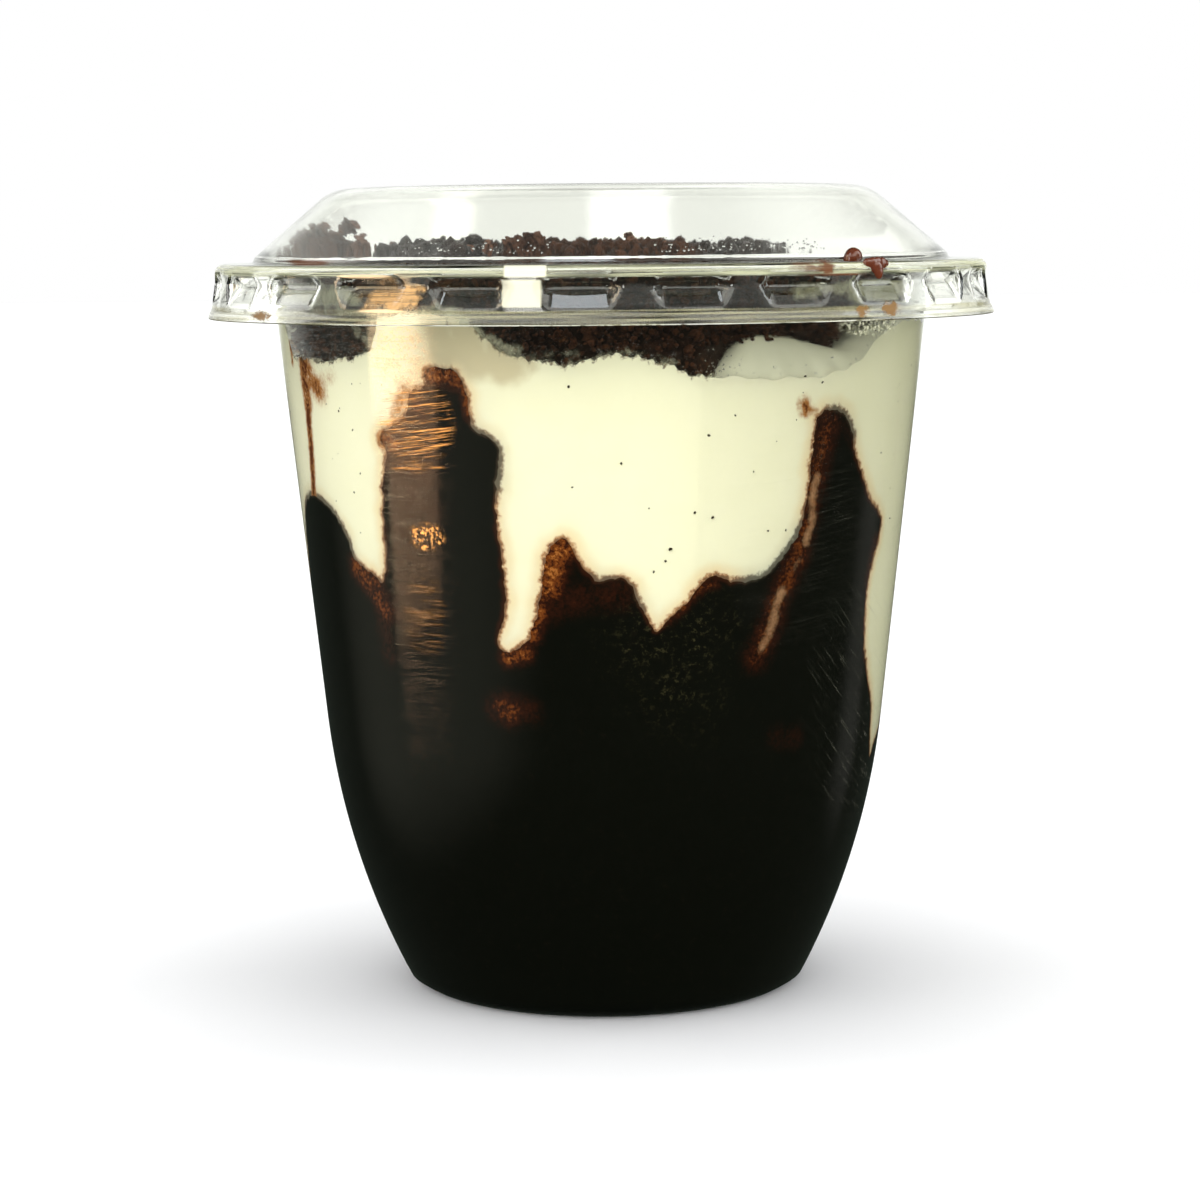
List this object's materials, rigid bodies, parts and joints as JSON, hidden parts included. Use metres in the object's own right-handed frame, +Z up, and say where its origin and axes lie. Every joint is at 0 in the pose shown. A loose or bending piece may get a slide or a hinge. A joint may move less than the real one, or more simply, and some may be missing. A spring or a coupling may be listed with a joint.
{
  "type": "lidded ice cream tub",
  "caption": "Clear cup with a clip-on domed lid, filled with chocolate sauce, vanilla ice cream and chocolate cake crumbs.",
  "frame": {"origin": "centre of the base, on the surface that the tub stands on", "axes": "+Z up along the tub's axis, -Y towards the side that the picture shows"},
  "size_m": [0.0978, 0.0978, 0.0999],
  "materials": {
    "cup_plastic": "clear thermoformed plastic, glossy",
    "lid_plastic": "clear thermoformed plastic, glossy",
    "chocolate": "dark chocolate sauce against the clear wall",
    "cream": "soft vanilla ice cream with fine specks",
    "crumbs": "loose moist chocolate cake crumbs"
  },
  "bodies": {
    "root": {"cup": "cup_plastic", "lid": "lid_plastic", "chocolate_sauce": "chocolate", "vanilla_cream": "cream", "cake_crumbs": "crumbs"}
  },
  "joints": []
}
